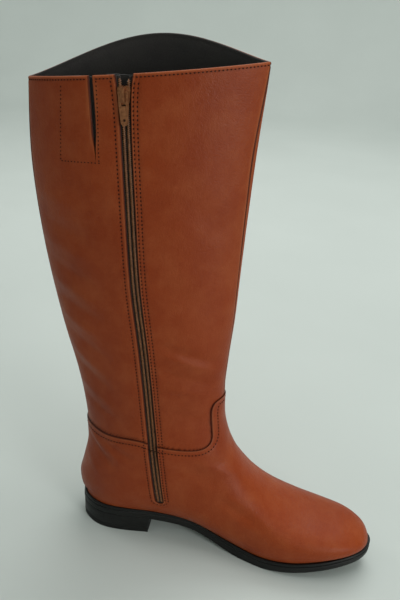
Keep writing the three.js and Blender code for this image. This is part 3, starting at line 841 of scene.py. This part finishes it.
def thread_look(name, dark, light):
    look = Look(name, 0.8, Specular_IOR_Level=0.15)
    twist = look.waves(900, "DIAGONAL", 0.3)
    look.bump(twist, 0.0001, 0.8)
    return look.done(look.mix(look.span(twist, 0.2, 0.9), dark, light))


LEATHER_LOOK = leather_look(
    "leather", colour(117, 41, 13), colour(145, 62, 25), colour(172, 96, 56))
LINING_LOOK = lining_look("lining", colour(24, 20, 18), colour(38, 33, 29))
# thread: its own dark brown, darkened further as painted shade of the sunken stitch holes
THREAD_LOOK = thread_look("thread", colour(30, 13, 7), colour(56, 25, 14))
TAPE_LOOK = woven_look("zip_tape", colour(24, 14, 9), colour(52, 32, 20), 0.0005)
COIL_LOOK = plastic_look("zip_coil", colour(112, 68, 38), colour(150, 98, 60))
ELASTIC_LOOK = woven_look("elastic", colour(14, 10, 8), colour(40, 28, 22), 0.0008)
METAL_LOOK = metal_look("zip_metal", colour(122, 74, 46), colour(176, 116, 78))
RUBBER_LOOK = rubber_look("sole_rubber", colour(9, 9, 8), colour(17, 17, 15), 0.5)
WELT_LOOK = rubber_look("welt", colour(7, 7, 6), colour(14, 13, 12), 0.42)
INSOLE_LOOK = lining_look("insole", colour(44, 37, 31), colour(62, 53, 45))
PITCH = 2.4
COLUMNS = 76


# ---------- leather and lining
COLLAR_ROWS = (0.15, 0.4, 0.75, 1.1, 1.5, 1.9)
SEAM_ROWS = (0.12, 0.35, 0.7, 1.1, 2.2)


def panel(name, sheet, depth, edges, sewing, nodes=()):
    """One cut piece of leather. edges are the fields whose zero lines are its rounded edges, and
    sewing the lines of stitches that pull it in."""
    for field, level in sewing:
        for row in (-1.3 * GROOVE_HALF, 0, 1.3 * GROOVE_HALF):
            sheet.cut(field, level + row)

    def fall(at):
        return sum(rounded(np.maximum(0, field(at))) for field in edges) + 0.3 * sewn(at, sewing)

    def brim(at):
        return rounded(np.maximum(0, below_collar(at)), 1.3, 1.0)

    def outer(at):
        return depth(at) + fall(at) + brim(at)

    def inner(at):
        return depth(at) + LEATHER

    points, faces, spots = sheet.solid(outer, inner)
    # painted shade in the stitch grooves and the ankle seam's gap, and along each cut edge
    shade = np.maximum(0.18 * sewn(spots, sewing), bell(from_seam(spots), 0.9))
    # painted highlight along the collar's rim and just inside each rounded edge, none on the inner
    # faces
    worn = bell(np.maximum(0, below_collar(spots)), 1.2)
    for field in edges:
        shade = np.maximum(shade, bell(np.maximum(0, field(spots)), 0.7))
        worn = np.maximum(worn, 0.8 * bell(field(spots) - 1.1, 0.5))
    # painted shade on the inner faces, except at the collar's rim
    shade = np.concatenate([shade, np.where(below_collar(spots) < 0.1, 0.0, 1.0)])
    worn = np.concatenate([worn, worn * 0])
    mesh_piece(name, points, faces, LEATHER_LOOK, "leather", stands_for=nodes, edge=shade,
               worn=worn)


def make_foot():
    """Vamp and counter in one, under the ankle seam, with the lap of the counter outside."""
    sheet = whole_sheet(PITCH, COLUMNS)
    sheet.trim(from_seam, rows=SEAM_ROWS).trim(off_slot)
    for row in (-0.12, 0.0, 0.35, 0.8):
        sheet.cut(behind_counter_edge, row)

    def depth(at):
        behind = behind_counter_edge(at)
        edge = np.where(behind >= -1e-3, rounded(np.maximum(0, behind), 0.9, 0.4), 0)
        return foot_depth(at) + edge

    panel("foot_leather", sheet, depth, [from_seam, off_slot], FOOT_SEWING, ["upper"])


def above_lap(at):
    return SEAM_LAP - from_seam(at)


SEAM_GAP = 0.08         # half the gap between butted panels
SHAFT_FROM = 8          # the shaft's leather stays above this section


def make_shaft():
    """Three panels: in front of the zip, behind it with the slit, and the outer side."""
    def start(sides, field):
        sheet = whole_sheet(PITCH, COLUMNS, sides, SHAFT_FROM, COLLAR_ROWS)
        return sheet.trim(above_lap, rows=()).trim(field, SEAM_GAP)

    def before_zip(at):
        return at.x - zip_x(at.z)

    def behind_zip(at):
        return zip_x(at.z) - at.x

    def flush(at):
        return np.zeros(np.shape(at.x))

    front = start((MEDIAL,), inside_panels).cut(before_zip).keep(before_zip).trim(off_slot)
    panel("shaft_front_leather", front, flush, [inside_panels, off_slot], SHAFT_SEWING,
          ["shaft"])
    rear = start((MEDIAL,), inside_panels).cut(behind_zip).keep(behind_zip).trim(off_slot)
    rear.cut(from_slit_middle).trim(off_slit)
    panel("shaft_rear_leather", rear, flush, [inside_panels, off_slot, slit_edge], SHAFT_SEWING)
    outer = start((MEDIAL, LATERAL), outside_panels)
    panel("shaft_outer_leather", outer, flush, [outside_panels], [(below_collar, COLLAR_ROW)])


def make_lining():
    sheet = whole_sheet(PITCH * 1.6, COLUMNS // 2, collar_rows=(0.15, 0.4, 0.8, 1.4, 2.6, 3.4))
    sheet.cut(from_slit_middle).trim(off_slot, -0.4, ()).trim(off_slit, 0.1, ())

    def inner(at):
        top = np.maximum(0, below_collar(at))
        return LINING[1] - rounded(top, 1.0, 0.6) - 0.25 * bell(top - COLLAR_ROW, 0.8)

    points, faces, _ = sheet.solid(lambda at: np.full(at.x.shape, LINING[0]), inner)
    mesh_piece("lining", points, faces, LINING_LOOK, "lining")


# ---------- stitches
FINE_STITCH = (1.5, 2.8, 0.42)      # length, pitch and radius
COUNTER_SEWN = (29, 103)            # heights between which the counter's edge is sewn
COLLAR_SEWN = (0.004, 0.996)        # fractions from back to front for the collar's row
SEWING_CLEAR = 1.2                  # how far that row stays off the slot and the slit
TOP_SPAN = 64                       # height of the last section below the collar


def stitch_template(length, radius):
    """One stitch along +X, its ends bending down into the leather."""
    at = np.array([-1, -0.86, -0.5, 0, 0.5, 0.86, 1.0])
    thick = np.array([0.25, 0.7, 0.95, 1, 0.95, 0.7, 0.25])
    sides = 6
    angle = 2 * np.pi * np.arange(sides) / sides
    rings = [
        np.stack([
            np.full(sides, t * length / 2),
            radius * w * np.cos(angle),
            radius * (w * np.sin(angle) + 0.15 - 1.5 * abs(t) ** 3),
        ], -1)
        for t, w in zip(at, thick)
    ]
    return np.vstack(rings), tube_faces(len(at), sides)


def sew(name, rows, length=1.6, pitch=3.0, radius=0.46):
    """Rows of stitches as one mesh. Each row is a Spots along its line."""
    template, template_faces = stitch_template(length, radius)
    points, faces = [], []
    for row in rows:
        line, normal = row.points(leather_depth(row)), row.normals()
        run = np.concatenate([[0], np.cumsum(np.linalg.norm(np.diff(line, axis=0), axis=1))])

        def along_row(values, at, run=run):
            return np.stack([np.interp(at, run, column) for column in values.T], -1)

        count = int(run[-1] // pitch)
        if count < 1:
            continue
        middle = (np.arange(count) + 0.5) * run[-1] / count
        reach = 0.4 * length
        along = unit(along_row(line, middle + reach) - along_row(line, middle - reach))
        across = unit(np.cross(along_row(normal, middle), along))
        up = np.cross(along, across)
        for p, a, b, c in zip(along_row(line, middle), along, across, up):
            start = sum(len(x) for x in points)
            points.append(p + template @ np.stack([a, b, c]))
            faces += [tuple(v + start for v in f) for f in template_faces]
    mesh_piece(name, np.vstack(points), faces, THREAD_LOOK, "leather")


def offset_line(line, distance):
    """The polyline moved to the right of its direction."""
    ahead = unit(np.gradient(line, axis=0))
    return line + distance * np.stack([ahead[:, 1], -ahead[:, 0]], -1)


def on_boot(side, line):
    """Spots along a side-view line, without what would run off the boot's edges."""
    spots = in_side_view(side, line[:, 0], line[:, 1])
    inside = (spots.h > 0.0015) & (spots.h < 0.9985)
    return Spots(side, spots.k[inside], spots.h[inside])


def upright_line(x_of_z, low, high, steps=120):
    z = np.linspace(low, high, steps)
    return np.stack([x_of_z(z), z], -1)


def steady(value):
    """The same value at every height."""
    return lambda z: value + 0 * z


def sew_zip():
    """Two rows in front of the slot, and one behind it that turns round its lower end."""
    end = SLOT_END + SLOT_HALF

    def beside_slot(row, way):
        line = upright_line(lambda z: zip_x(z) + way * (slot_half(z) + row), end, ZIP_TOP - 4)
        return on_boot(MEDIAL, line)

    zip_rows = [beside_slot(row, 1) for row in ZIP_FRONT_ROWS]
    zip_rows.append(beside_slot(ZIP_REAR_ROW, -1))
    angle = np.linspace(0.06, 0.94, 24) * math.pi
    reach = SLOT_HALF + ZIP_REAR_ROW
    centre = zip_x(end)
    turn_line = np.stack([centre + reach * np.cos(angle), end - 0.8 * reach * np.sin(angle)], -1)
    zip_rows.append(on_boot(MEDIAL, turn_line))
    sew("zip_stitches", zip_rows)


def sew_ankle():
    """The row under the ankle seam, and two along the counter's edge."""
    seam_rows = [
        on_boot(side, offset_line(SEAM_LINES[side][:-1], STITCH_INSET))
        for side in (MEDIAL, LATERAL)
    ]
    for row in COUNTER_ROWS:
        line = upright_line(steady(COUNTER_EDGE - row), *COUNTER_SEWN, 40)
        seam_rows.append(on_boot(LATERAL, line))
    sew("ankle_stitches", seam_rows)


def sew_collar():
    """A row round the collar that stops at the slot and at the slit."""
    top = COLLAR_SECTION - COLLAR_ROW / TOP_SPAN
    collar_rows = [Spots(LATERAL, top, np.linspace(*COLLAR_SEWN, 120))]
    row = Spots(MEDIAL, top, np.linspace(*COLLAR_SEWN, 240))
    clear = (off_slot(row) > SEWING_CLEAR) & (off_slit(row) > SEWING_CLEAR)
    breaks = np.nonzero(np.diff(clear.astype(int)))[0] + 1
    for run in np.split(np.arange(len(clear)), breaks):
        if clear[run[0]] and len(run) > 3:
            collar_rows.append(Spots(MEDIAL, row.k[run], row.h[run]))
    sew("collar_stitches", collar_rows, *FINE_STITCH)


def sew_gore():
    """Behind, under and in front of the elastic."""
    high = ZIP_TOP - 5
    foot_row = np.linspace(GORE_FOOT - 1, GORE_FOOT + 2, 40)
    gore_rows = [
        on_boot(MEDIAL, upright_line(steady(GORE_BACK + 1), GORE_FOOT - 1, high - 6, 50)),
        on_boot(MEDIAL, np.stack([np.linspace(GORE_BACK + 1, -16, 40), foot_row], -1)),
        on_boot(MEDIAL, upright_line(
            lambda z: smooth(SLIT["z"], SLIT["x"], z) + 2.6 + 0.035 * (z - GORE_FOOT),
            GORE_FOOT + 2, high, 50)),
    ]
    sew("gore_stitches", gore_rows, *FINE_STITCH)


# ---------- zip, guard and gore
def strip(name, low, high, near, far, depth, thick, look, slot, nodes, rows=150, columns=8):
    """A flat strip behind the slot. near and far are offsets from the zip's line over height."""
    z = np.linspace(low, high, rows)
    share = np.linspace(0, 1, columns + 1)
    zz, ss = np.meshgrid(z, share, indexing="ij")
    spots = in_side_view(MEDIAL, zip_x(zz) + near(zz) + (far(zz) - near(zz)) * ss, zz)
    outer = skin(MEDIAL, spots.k, spots.h, depth).reshape(-1, 3)
    inner = skin(MEDIAL, spots.k, spots.h, depth + thick).reshape(-1, 3)
    wide, count = columns + 1, rows * (columns + 1)
    front = quads(rows, wide)
    faces = front + [tuple(v + count for v in reversed(quad)) for quad in front]
    ring = [*range(wide), *((r + 1) * wide - 1 for r in range(1, rows))]
    ring += [*range(rows * wide - 2, (rows - 1) * wide - 1, -1)]
    ring += [r * wide for r in range(rows - 2, 0, -1)]
    faces += [(a, a + count, b + count, b) for a, b in zip(ring, ring[1:] + ring[:1])]
    mesh_piece(name, np.vstack([outer, inner]), faces, look, slot, stands_for=nodes)


COIL_PITCH = 1.35
COIL_WIRE = 0.3         # radius of the wire
COIL_CORD = 0.5         # radius of the cord inside the loops
COIL_CENTRE = 1.78
COIL_REACH = (1.0, 0.62)    # half width and half depth of one loop's centre line
COIL_DEPTH = 1.45
TURN_STEPS = 10
TUBE_TURN = (0.13, -0.31, 0.94)     # a direction that no tube runs along


def spread(z):
    """Half the gap between the two tapes, which part above the slider."""
    return TAPE_GAP + TAPE_SPREAD * step(SLIDER_Z - 2, SLIDER_Z + 6, z)


def coil_middle(z):
    """How far the coil's cord lies from the zip's line."""
    return COIL_CENTRE + 0.5 * (spread(z) - TAPE_GAP)


def tube(line, radius, sides, start):
    """Points and faces of a closed tube along a line of points."""
    ahead = unit(np.gradient(line, axis=0))
    across = unit(np.cross(ahead, TUBE_TURN))
    other = np.cross(ahead, across)
    angle = (2 * np.pi * np.arange(sides) / sides)[:, None]
    ring = np.cos(angle) * across[:, None] + np.sin(angle) * other[:, None]
    points = (line[:, None] + radius * ring).reshape(-1, 3)
    return points, tube_faces(len(line), sides, start)


def make_coil(name, way, node):
    """One row of the zip: a helix of nylon wire round a cord, along the tape's edge."""
    low, high = SLOT_END + 2, ZIP_TOP - 3
    turns = int((high - low) / COIL_PITCH)
    angle = 2 * math.pi * np.arange(turns * TURN_STEPS + 1) / TURN_STEPS
    z = low + COIL_PITCH * angle / (2 * math.pi)
    x = zip_x(z) + way * (coil_middle(z) + COIL_REACH[0] * np.cos(angle))
    spots = in_side_view(MEDIAL, x, z)
    wire = skin(MEDIAL, spots.k, spots.h, COIL_DEPTH - COIL_REACH[1] * np.sin(angle))
    points, faces = tube(wire, COIL_WIRE, 6, 0)
    core_z = np.linspace(low, high, 200)
    core = in_side_view(MEDIAL, zip_x(core_z) + way * coil_middle(core_z), core_z)
    cord = skin(MEDIAL, core.k, core.h, COIL_DEPTH)
    more, more_faces = tube(cord, COIL_CORD, 8, len(points))
    mesh_piece(name, np.vstack([points, more]), faces + more_faces, COIL_LOOK, "zip_coil",
               stands_for=[node])


def make_zip():
    foot, top = SLOT_END - HEM, ZIP_TOP - 1.5
    tape = (TAPE_DEPTH, TAPE_THICK, TAPE_LOOK, "zip_tape")
    strip("zip_tape_front_cloth", foot, top, spread, steady(TAPE_HALF), *tape, ["zip_tape_front"])
    strip("zip_tape_rear_cloth", foot, top, steady(-TAPE_HALF), lambda z: -spread(z), *tape,
          ["zip_tape_rear"])
    strip("zip_guard_leather", foot, ZIP_TOP - 1, steady(-GUARD_HALF), steady(GUARD_HALF),
          GUARD_DEPTH, GUARD_THICK, LINING_LOOK, "lining", ["zip_guard"])
    strip("gore_elastic", GORE_FOOT, ZIP_TOP - 4, lambda z: GORE_BACK - zip_x(z),
          lambda z: GORE_FRONT - zip_x(z), TAPE_DEPTH, GORE_THICK, ELASTIC_LOOK, "elastic",
          ["gore"], 40, 24)
    make_coil("zip_coil_front_row", 1, "zip_coil_front")
    make_coil("zip_coil_rear_row", -1, "zip_coil_rear")


def soften(node, width, look):
    """A CAD part whose shape is right, with its edges eased and a better finish."""
    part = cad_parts[node]
    bevel = part.modifiers.new("eased_edges", "BEVEL")
    bevel.width = width * MM
    bevel.segments = 3
    bevel.limit_method = "ANGLE"
    bevel.angle_limit = math.radians(30)
    part.data.materials.clear()
    part.data.materials.append(look)


# ---------- sole
PLATE_STEPS = 240
HEEL_STEPS = 130
TREAD_PITCH = 8.0
TREAD_DEPTH = 0.9
SOLE_TREAD = (96, 222)  # from where to where the grooves run along the sole
HEEL_TREAD = (-24, 26)
LIFT = 5.2              # height of the line round the heel


def plate(levels, front=None, steps=PLATE_STEPS):
    """Points and faces of a plate with the sole's outline, a ring per (inset, height) level."""
    points = []
    for inset, height in levels:
        low = MIDDLE - SOLE_LENGTH / 2 * shrink(inset)
        high = MIDDLE + SOLE_LENGTH / 2 * shrink(inset) if front is None else front(inset)
        sweep = math.pi if front is None else math.pi / 2
        c = 1 - np.cos(sweep * np.arange(steps + 1) / steps)
        x = low + (high - low) * c / c[-1]
        for side, order in ((MEDIAL, 1), (LATERAL, -1)):
            xs = x[::order]
            points.append(np.stack([xs, side * outline_half(side, xs, inset), height(xs)], -1))
    size = 2 * (steps + 1)
    faces = quads(len(levels), size, True)
    top = (len(levels) - 1) * size
    for i in range(steps):
        mate = size - 1 - i
        faces += [(mate, mate - 1, i + 1, i), (top + i, top + i + 1, top + mate - 1, top + mate)]
    return np.vstack(points), faces


def tread(x, low, high):
    """Height of the grooves across the underside."""
    groove = np.maximum(0, np.sin(2 * np.pi * x / TREAD_PITCH)) ** 0.7
    return TREAD_DEPTH * groove * step(low, low + 2, x) * (1 - step(high - 2, high, x))


def over(base, rings):
    """Rings of a plate given as insets and heights over a base line."""
    return [(inset, lambda x, up=up: base(x) + up) for inset, up in rings]


def welt_foot(x):
    return feather_z(x) - WELT_THICK - 0.3


def make_sole():
    outsole = [
        (4.0, lambda x: underside_z(x) + tread(x, *SOLE_TREAD)),
        *over(underside_z, [(1.3, 0), (0.75, 0.1), (0.3, 0.4), (0.05, 0.95), (0, 1.6)]),
        *over(welt_foot, [(0, -1.9), (0.05, -1.2), (0.35, -0.75), (0.95, -0.45), (1.6, 0)]),
    ]
    points, faces = plate(outsole)
    mesh_piece("outsole_rubber", points, faces, RUBBER_LOOK, "sole_rubber", stands_for=["outsole"])
    foot = -WELT_THICK
    points, faces = plate(over(feather_z, [
        (1.2, foot - 0.2), (0.45, foot + 0.2), (0.15, foot + 0.8), (0.15, -1.1), (0.4, -0.45),
        (0.9, -0.12), (1.7, 0),
    ]))
    mesh_piece("welt_strip", points, faces, WELT_LOOK, "welt", stands_for=["welt"])
    heel = [
        (5.0, lambda x: tread(x, *HEEL_TREAD)),
        *over(np.zeros_like, [
            (2.0, 0), (1.3, 0.2), (1.0, 0.8), (0.95, LIFT - 0.5), (1.35, LIFT - 0.1),
            (1.35, LIFT + 0.1), (0.9, LIFT + 0.5),
        ]),
        *over(underside_z, [(0.45, -1.0), (0.8, -0.5), (1.5, -0.3)]),
    ]
    points, faces = plate(heel, lambda inset: HEEL_BREAST + 0.4 - 0.5 * inset, HEEL_STEPS)
    mesh_piece("heel_block", points, faces, RUBBER_LOOK, "sole_rubber", stands_for=["heel"])


# ---------- studio
CAMERA_AT = (117.3, -513.6, 471.7)
CAMERA_AIM = (-3.2, 5, 189.6)
CAMERA_LENS = 40.71
CAMERA_ROLL = 2.17
CAMERA_SHIFT = (0.13, 0.07)     # the shoe stands off the middle of a wider picture


def make_camera():
    data = bpy.data.cameras.new("camera")
    data.lens = CAMERA_LENS
    data.shift_x, data.shift_y = CAMERA_SHIFT
    camera = in_scene("camera", data)
    place, aim = Vector(CAMERA_AT) * MM, Vector(CAMERA_AIM) * MM
    look = (aim - place).to_track_quat("-Z", "Y").to_matrix().to_4x4()
    camera.matrix_world = look @ Matrix.Rotation(math.radians(CAMERA_ROLL), 4, "Z")
    camera.location = place
    bpy.context.scene.camera = camera


def area_light(name, place, aim, size, power):
    data = bpy.data.lights.new(name, "AREA")
    data.shape = "DISK"
    data.size = size
    data.energy = power
    light = in_scene(name, data)
    light.location = place
    light.rotation_mode = "QUATERNION"
    light.rotation_quaternion = (Vector(aim) - Vector(place)).to_track_quat("-Z", "Y")


def make_studio():
    """A pale floor that curves up into a wall all round, and soft lights."""
    flat, bend, wall = 2.4, 0.9, 2.6
    profile = [(r, 0.0) for r in (0.0, 0.5, 1.2, 1.9, flat)]
    profile += [
        (flat + bend * math.sin(a), bend * (1 - math.cos(a)))
        for a in (math.pi / 2 * i / 10 for i in range(1, 11))
    ]
    profile.append((flat + bend, bend + wall))
    around = 72
    points = [(0, 0, 0)] + [
        (r * math.cos(2 * math.pi * i / around), r * math.sin(2 * math.pi * i / around), z)
        for r, z in profile[1:] for i in range(around)
    ]
    faces = [(0, 1 + i, 1 + (i + 1) % around) for i in range(around)]
    faces += [quad[::-1] for quad in quads(len(profile) - 1, around, True, 1)]
    mesh = bpy.data.meshes.new("studio_floor")
    mesh.from_pydata(points, [], faces)
    mesh.shade_smooth()
    floor = in_scene("studio_floor", mesh)
    look = Look("studio_paper", 0.9, Specular_IOR_Level=0.1)
    mottle = look.noise(3, 3)
    mesh.materials.append(look.done(
        look.mix(look.span(mottle, 0.3, 0.7), colour(194, 201, 196), colour(198, 205, 200))))

    world = bpy.data.worlds.new("studio")
    bpy.context.scene.world = world
    world.use_nodes = True
    sky = world.node_tree.nodes["Background"].inputs
    sky["Color"].default_value = (0.97, 1.0, 0.99, 1)
    sky["Strength"].default_value = 0.63
    area_light("overhead", (0.4, 0.1, 1.6), (0.12, 0, 0.05), 0.8, 5)
    area_light("key", (1.35, -1.05, 0.6), (0.05, 0, 0.22), 0.7, 11.5)
    area_light("rim", (-1.3, 0.5, 0.9), (-0.05, 0, 0.2), 0.5, 2)
    area_light("backdrop", (0.2, 1.3, 1.9), (0.1, 1.9, 0), 1.6, 22)
    bpy.context.scene.view_settings.view_transform = "Standard"


# ---------- everything
make_camera()
make_foot()
make_shaft()
make_lining()
make_zip()
make_sole()
sew_zip()
sew_ankle()
sew_collar()
sew_gore()
soften("zip_slider", 0.22, METAL_LOOK)
soften("zip_pull", 0.25, METAL_LOOK)
soften("insole", 0.6, INSOLE_LOOK)
make_studio()
